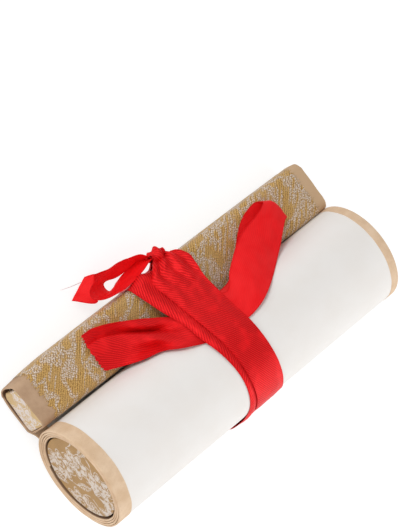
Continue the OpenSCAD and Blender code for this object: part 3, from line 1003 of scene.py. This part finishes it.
no_pleat = graph((0, 0.0), (RING_L, 0.0))
gather = graph(
    (0, 0.8), (6, 0.9), (16, 0.55), (30, 0.18), (44, 0.0), (150, 0.0), (240, 0.0), (250, 0.1),
    (RING_L, 0.8))


def under_right(s):
    return under_left(s) + RIBBON_W


def under_lift(s, share):
    """The lower turn is rolled into a soft ridge where it shows, and stands off the bar at the knot."""
    shown = max(band_left(s) - under_left(s), LEAST_SHOWN) / RIBBON_W
    ridge = math.exp(-((share - RIDGE_AT * shown) / (RIDGE_HALF_W * shown)) ** 2)
    beside_knot = BESIDE_KNOT * math.exp(
        -((share - BESIDE_AT) / BESIDE_HALF_W) ** 2 - (min(s, RING_L - s) / BESIDE_L) ** 2)
    return under_rise(s) + under_curl(s) * ridge + beside_knot


def band_lift(s, share):
    """The upper turn lies over the lower one, and comes down to the roll on its far side."""
    over = 0.5 - 0.5 * math.cos(math.pi * min(1.0, max(0.0, (share - OVER_FROM) / OVER_W)))
    settled = band_rise(s) - BAND_ON_ROLL
    rolled = RIM_ROLL * min(1.0, settled) * math.exp(-(share / RIM_ROLL_W) ** 2)
    return BAND_ON_ROLL + settled * (1 - OVER_SINK * over) - rolled


ribbon_l += ring_strip(under_left, under_right, under_lift, no_pleat, 0.2, TURNED)
ribbon_l += ring_strip(band_left, band_right, band_lift, gather, 0.7, TWILL)
print(f"ribbon: {ribbon_l:.0f} mm of it round roll and bar")


# %% [markdown]
# The free lengths lie in folds that no path in the section gives. A cloth simulation would let them fall,
# but not into these folds. So each is given by a few rows of places, and a smooth strip runs through
# them.

# %% Free lengths of ribbon
PINK_DEPTH = 1.1
PINK_ZONE = 1.5
NEAR_BY = 0.5
NEAR_SHARE = 0.02


class Strip:
    """A free length of ribbon, by rows of places in (x, p, q), one at each given share of its width."""

    def __init__(self, shares, rows, crease=0.0):
        rows = [[Vector(spot) for spot in row] for row in rows]
        lengths = [0.0]
        for row, following in zip(rows, rows[1:]):
            lengths.append(lengths[-1] + sum((b - a).length for a, b in zip(row, following)) / len(row))
        self.shares = shares
        self.crease = crease
        self.length = lengths[-1]
        self.columns = [graph(*zip(lengths, column)) for column in zip(*rows)]

    def at(self, s, share):
        """A place on the strip: smooth across its width, or with a crease along each column."""
        row = list(zip(self.shares, [column(s) for column in self.columns]))
        (a, low), (b, high) = next(pair for pair in zip(row, row[1:]) if share <= pair[1][0])
        return graph(*row)(share).lerp(low.lerp(high, (share - a) / (b - a)), self.crease)

    def lifted(self, s, share, lift):
        """A place that is lifted off the strip, square to it."""
        ahead = self.at(min(s + NEAR_BY, self.length), share) - self.at(max(s - NEAR_BY, 0), share)
        aside = self.at(s, min(share + NEAR_SHARE, 1)) - self.at(s, max(share - NEAR_SHARE, 0))
        return self.at(s, share) + ahead.cross(aside).normalized() * lift


def free_strip(shares, rows, seed, crumple=0.15, teeth=0, face=SATIN, crease=0.0):
    """Lays a free length of ribbon, with its satin face out unless told. teeth pinks its far end."""
    strip = Strip(shares, rows, crease)

    def place(s, t):
        share = t / RIBBON_W
        lift = crumple * ripple(s / 6, t / 4.5, seed)
        if teeth and s > strip.length - PINK_ZONE:
            s -= PINK_DEPTH * abs((share * teeth) % 1 - 0.5) * 2
        return strip.lifted(s, share, lift)
    across = spread(0, RIBBON_W, RIBBON_W / (2 * teeth)) if teeth else ACROSS
    bend_flat(ribbon, spread(0, strip.length, RIBBON_STEP), across, place, face)
    return strip.length


def tucked(x, lift, *lengths):
    """A row of places under the band, by their lengths along the ring."""
    return [on_ring(s, x, lift) for s in lengths]


# %% [markdown]
# The near tail comes out from under the band in folds, and opens out to its pinked end on the bar. Its
# seven columns are its upper edge, a small ridge, the valley, the fold over the valley, the main ridge, a
# gutter over the crevice and its lower edge on the roll.

# %% Near tail and far loop
ribbon_l += free_strip((0, 0.18, 0.34, 0.46, 0.66, 0.84, 1), [
    tucked(4, 0.35, 33, 37, 41, 44, 48.5, 52, 55.5),
    tucked(-8, 0.35, 33, 37, 41, 44, 48.5, 52, 55.5),
    tucked(-16.5, 0.4, 33.5, 37.5, 41, 44, 49, 52, 55),
    [(-21, 40, 14.5), (-22, 37, 15.5), (-22.5, 33.5, 15), (-25, 31, 18.5), (-27.5, 26.5, 22),
     (-28.5, 24, 23), (-29, 22, 25.5)],
    [(-32.5, 47.5, 11.5), (-34, 43, 14), (-31, 39.5, 7.5), (-36, 38.5, 16), (-36, 34, 18),
     (-35, 31, 13.5), (-37, 27, 19)],
    [(-49, 55.5, 14), (-47.5, 52, 9.5), (-46.5, 49, 7), (-49, 48, 11), (-47.5, 40.5, 11),
     (-47, 34.5, 9.5), (-47.5, 29.5, 15)],
    [(-59, 59.5, 12), (-58, 56.5, 8.5), (-57.5, 53.5, 7), (-59, 52.5, 9.5), (-58, 43.5, 8),
     (-57.5, 38, 8), (-56.5, 33, 9)],
    [(-66.5, 60, 9), (-66, 57, 7.5), (-66.5, 54, 7), (-67, 53, 8), (-67, 44, 7.5),
     (-67, 40, 7.5), (-66.5, 37, 7)]],
    1.3, teeth=10, face=RUBBED, crease=0.8)
ribbon_l += free_strip((0, 0.5, 1), [
    tucked(7, 0.5, 33.5, 44.5, 55.5),
    [(16, 31, 20), (15, 22, 26), (12.5, 13, 30)],
    [(27, 38.5, 16), (29, 27.5, 24.5), (29.5, 16.5, 29.5)],
    [(46.5, 50, 14.5), (53, 39, 16.5), (58, 28.5, 16.5)],
    [(65, 54, 14), (72, 48, 14), (76, 40.5, 13)],
    [(73.5, 57, 10.5), (79.5, 53, 10.5), (81, 42, 10)],
    [(70, 59.5, 8), (77, 54, 7.5), (80.5, 43, 7.5)],
    [(56, 55.5, 7), (61, 46, 7), (64.5, 37, 7.5)],
    [(25, 34.5, 13), (26, 28, 19), (25, 20, 25.5)],
    tucked(6, 0.15, 36, 46, 55)], 2.1, crumple=0.3)
print(f"ribbon: {ribbon_l:.0f} mm with the near tail and the far loop")

# %% [markdown]
# Behind the bar, the second loop lies open like a shallow cup, and light falls through it. Seen from
# above, its outer edge and its hole are both drops with their points at the knot. The last tail runs
# under it and hangs open beyond its end, with one thread pulled out.

# %% Loop and tail behind the bar
LOOP_START = Vector((0, 71.5))
LOOP_TIP = Vector((-46, 73))
LOOP_HALF_W = 8.2
LOOP_POINT = 0.5
HOLE_START = Vector((-2, 73))
HOLE_TIP = Vector((-31.5, 71.5))
HOLE_HALF_W = 8.5
HOLE_POINT = 12.0
LOOP_LOW = -4.0
LOOP_MID = 1.0
LOOP_TOP = 5.0
LOOP_BELLY = 0.6
LOOP_TURNS = range(40, 321, 20)


def drop(start, tip, half_width, point, turn):
    """A place in (x, p) on the outline of a drop, all the way round. A higher point draws it out."""
    axis = tip - start
    side = Vector((axis.y, -axis.x)).normalized()
    opened = half_width * math.sin(turn) * math.sin(turn / 2) ** point
    return start + axis * (0.5 - 0.5 * math.cos(turn)) + side * opened


def cup_row(degrees):
    """One row of places across the loop, from its hole up to its outer edge."""
    turn = math.radians(degrees)
    inner = drop(HOLE_START, HOLE_TIP, HOLE_HALF_W, HOLE_POINT, turn)
    outer = drop(LOOP_START, LOOP_TIP, LOOP_HALF_W, LOOP_POINT, turn)
    return [(*inner, LOOP_LOW), (*inner.lerp(outer, LOOP_BELLY), LOOP_MID), (*outer, LOOP_TOP)]


ribbon_l += free_strip((0, 0.5, 1), [
    [(1, 69, 0), (0, 69.5, 3), (-1, 68.5, 5.5)],
    *[cup_row(degrees) for degrees in LOOP_TURNS],
    [(1, 68, 0), (0, 69, 3), (-1, 69.5, 5.5)]], 3.4, crumple=0.4)
ribbon_l += free_strip((0, 1), [
    [(1, 70, 0), (0, 68.5, -3)],
    [(-8, 77.5, -10), (-8, 77, -13)],
    [(-20, 79, -10.5), (-20, 78, -13)],
    [(-28.5, 81, -9), (-32.5, 74, -11)],
    [(-30.5, 82, -9), (-38.4, 67.7, -9)],
    [(-33, 83.2, -14), (-48, 77, -13.5)]], 4.2, crumple=0.3)
THREAD_W = 0.3
thread = Strip((0, 1), [
    [(-37, 81.8, -13), (-37, 82.2, -13)],
    [(-44, 83.4, -13), (-44, 83.7, -13)],
    [(-49.5, 85.2, -14), (-49.5, 85.4, -14)]])
bend_flat(ribbon, spread(0, thread.length, 1.0), [0, THREAD_W],
          lambda s, t: thread.at(s, t / THREAD_W), THREAD_END)

# %% [markdown]
# The knot is the same ribbon, drawn tight round itself: a strip wound once and a half round a small
# waist, pinched at its two ends and full of creases.

# %% Knot
KNOT = Vector((1.5, 69.5, 4.0))
KNOT_R = 3.9
KNOT_W = 8.0
KNOT_TURN = 540.0
KNOT_L = math.radians(KNOT_TURN) * KNOT_R
KNOT_PINCH = 0.62
KNOT_TWIST = 40
KNOT_TAPER = 0.12
KNOT_LONG = 1.15
KNOT_TALL = 1.1
KNOT_SWAY = 0.8
KNOT_CREASE = 0.14
KNOT_UNEVEN = 0.26


def on_knot(s, t):
    share = t / KNOT_W
    angle = math.radians(KNOT_TURN * s / KNOT_L + KNOT_TWIST * (share - 0.5))
    waist = KNOT_PINCH + (1 - KNOT_PINCH) * math.sin(math.pi * share)
    crease = KNOT_CREASE * math.sin(11 * share + 2 * math.sin(angle))
    crease += KNOT_UNEVEN * ripple(share * 4, angle * 1.3, 6)
    r = KNOT_R * (waist + crease) * (1 - KNOT_TAPER * s / KNOT_L)
    x = KNOT_W * KNOT_LONG * (share - 0.5) + KNOT_SWAY * math.sin(angle)
    return KNOT + Vector((x, r * math.cos(angle), KNOT_TALL * r * math.sin(angle)))


bend_flat(ribbon, spread(0, KNOT_L, 1.0), spread(0, KNOT_W, 0.5), on_knot)
ribbon_piece = make_piece("ribbon_tie", ribbon, ribbon_red, ["ribbon"], STRIP_T)
ribbon_l * MM
print(f"ribbon: {ribbon_l:.0f} mm in all, without the knot")

# %% [markdown]
# ## Floor, light and camera
# The floor is one white plane. What the camera sees of it is mostly its own white, so that the soft
# shadow under the scroll stays light.

# %% Floor
FLOOR_HALF = 4.0
FLOOR_GLOW = 0.78
FLOOR_SHADE = (0.34, 0.34, 0.34, 1)


def floor_finish():
    bench = Bench("studio_floor")
    path = bench.node("LightPath", output="Is Camera Ray")
    seen = path.most(path.beside("Is Glossy Ray")).most(path.beside("Is Transmission Ray"))
    grain = bench.noise(bench.coordinate("Object", scale=(40, 40, 40)), 1.0, 2)
    bench.finish(Base_Color=bench.mix(grain, tone(236, 236, 236), tone(240, 240, 240)), Roughness=0.8)
    glow = bench.node("Emission", values={"Color": (1, 1, 1, 1), "Strength": FLOOR_GLOW})
    dim = bench.node("BsdfDiffuse", values={"Color": FLOOR_SHADE})
    white = bench.node("AddShader", values={0: glow, 1: dim})
    lit = Wire(bench, bench.shader.outputs[0])
    both = bench.node("MixShader", values={0: seen, 1: lit, 2: white})
    bench.tree.links.new(both.socket, bench.tree.nodes["Material Output"].inputs["Surface"])
    return bench.material


bm = bmesh.new()
bmesh.ops.create_grid(bm, x_segments=1, y_segments=1, size=FLOOR_HALF)
floor_mesh = bpy.data.meshes.new("studio_floor")
bm.to_mesh(floor_mesh)
bm.free()
floor_mesh.materials.append(floor_finish())
floor = bpy.data.objects.new("studio_floor", floor_mesh)
bpy.context.scene.collection.objects.link(floor)
print(f"floor: {2 * FLOOR_HALF:.0f} m wide")

# %% [markdown]
# A broad sky gives the even light of a studio, and four soft boxes give the turns and folds their
# shading. One strong lamp would be simpler, but its shadows would be hard.

# %% Light
SKY_TONE = (1.0, 0.99, 0.98, 1)
SKY_STRENGTH = 0.51

scene = bpy.context.scene
scene.view_settings.view_transform = "Standard"
world = bpy.data.worlds.new("studio_sky")
world.use_nodes = True
world.node_tree.nodes["Background"].inputs["Color"].default_value = SKY_TONE
world.node_tree.nodes["Background"].inputs["Strength"].default_value = SKY_STRENGTH
scene.world = world


BOX_AIM = Vector((0, 0, 0))


def soft_box(name, place, size, watts):
    lamp = bpy.data.lights.new(name, "AREA")
    lamp.size = size
    lamp.energy = watts
    holder = bpy.data.objects.new(name, lamp)
    holder.location = place
    holder.rotation_euler = (BOX_AIM - Vector(place)).to_track_quat("-Z", "Y").to_euler()
    scene.collection.objects.link(holder)
    print(f"{name}: {watts} W")


soft_box("front_box", (-0.75, -0.15, 1.35), 0.9, 1.8)
soft_box("side_box", (0.35, -1.5, 0.55), 1.3, 13)
soft_box("end_box", (-1.5, 0.0, 0.6), 0.9, 4)
soft_box("back_box", (-0.5, 1.4, 0.9), 0.8, 9)

# %% [markdown]
# The camera looks from where the photograph was taken. Its place, aim and lens were worked out from the
# roll's two rims and the bar's corners.

# %% Camera
CAMERA_AT = Vector((-0.5318, 0.3085, 1.0370))
CAMERA_AIM = Vector((0.0176, 0.0244, 0.0320))
CAMERA_TOP = Vector((0.5446, 0.8365, 0.0612))
LENS = 96.53
FRAME_H = 24.0

back = (CAMERA_AT - CAMERA_AIM).normalized()
right = CAMERA_TOP.cross(back).normalized()
camera = bpy.data.cameras.new("photo_camera")
camera.sensor_fit = "VERTICAL"
camera.sensor_height = FRAME_H
camera.lens = LENS
holder = bpy.data.objects.new("photo_camera", camera)
turned = Matrix((right, back.cross(right), back)).transposed().to_4x4()
holder.matrix_world = Matrix.Translation(CAMERA_AT) @ turned
scene.collection.objects.link(holder)
scene.camera = holder
print(f"camera: {(CAMERA_AT - CAMERA_AIM).length:.2f} m away, lens {LENS} mm")
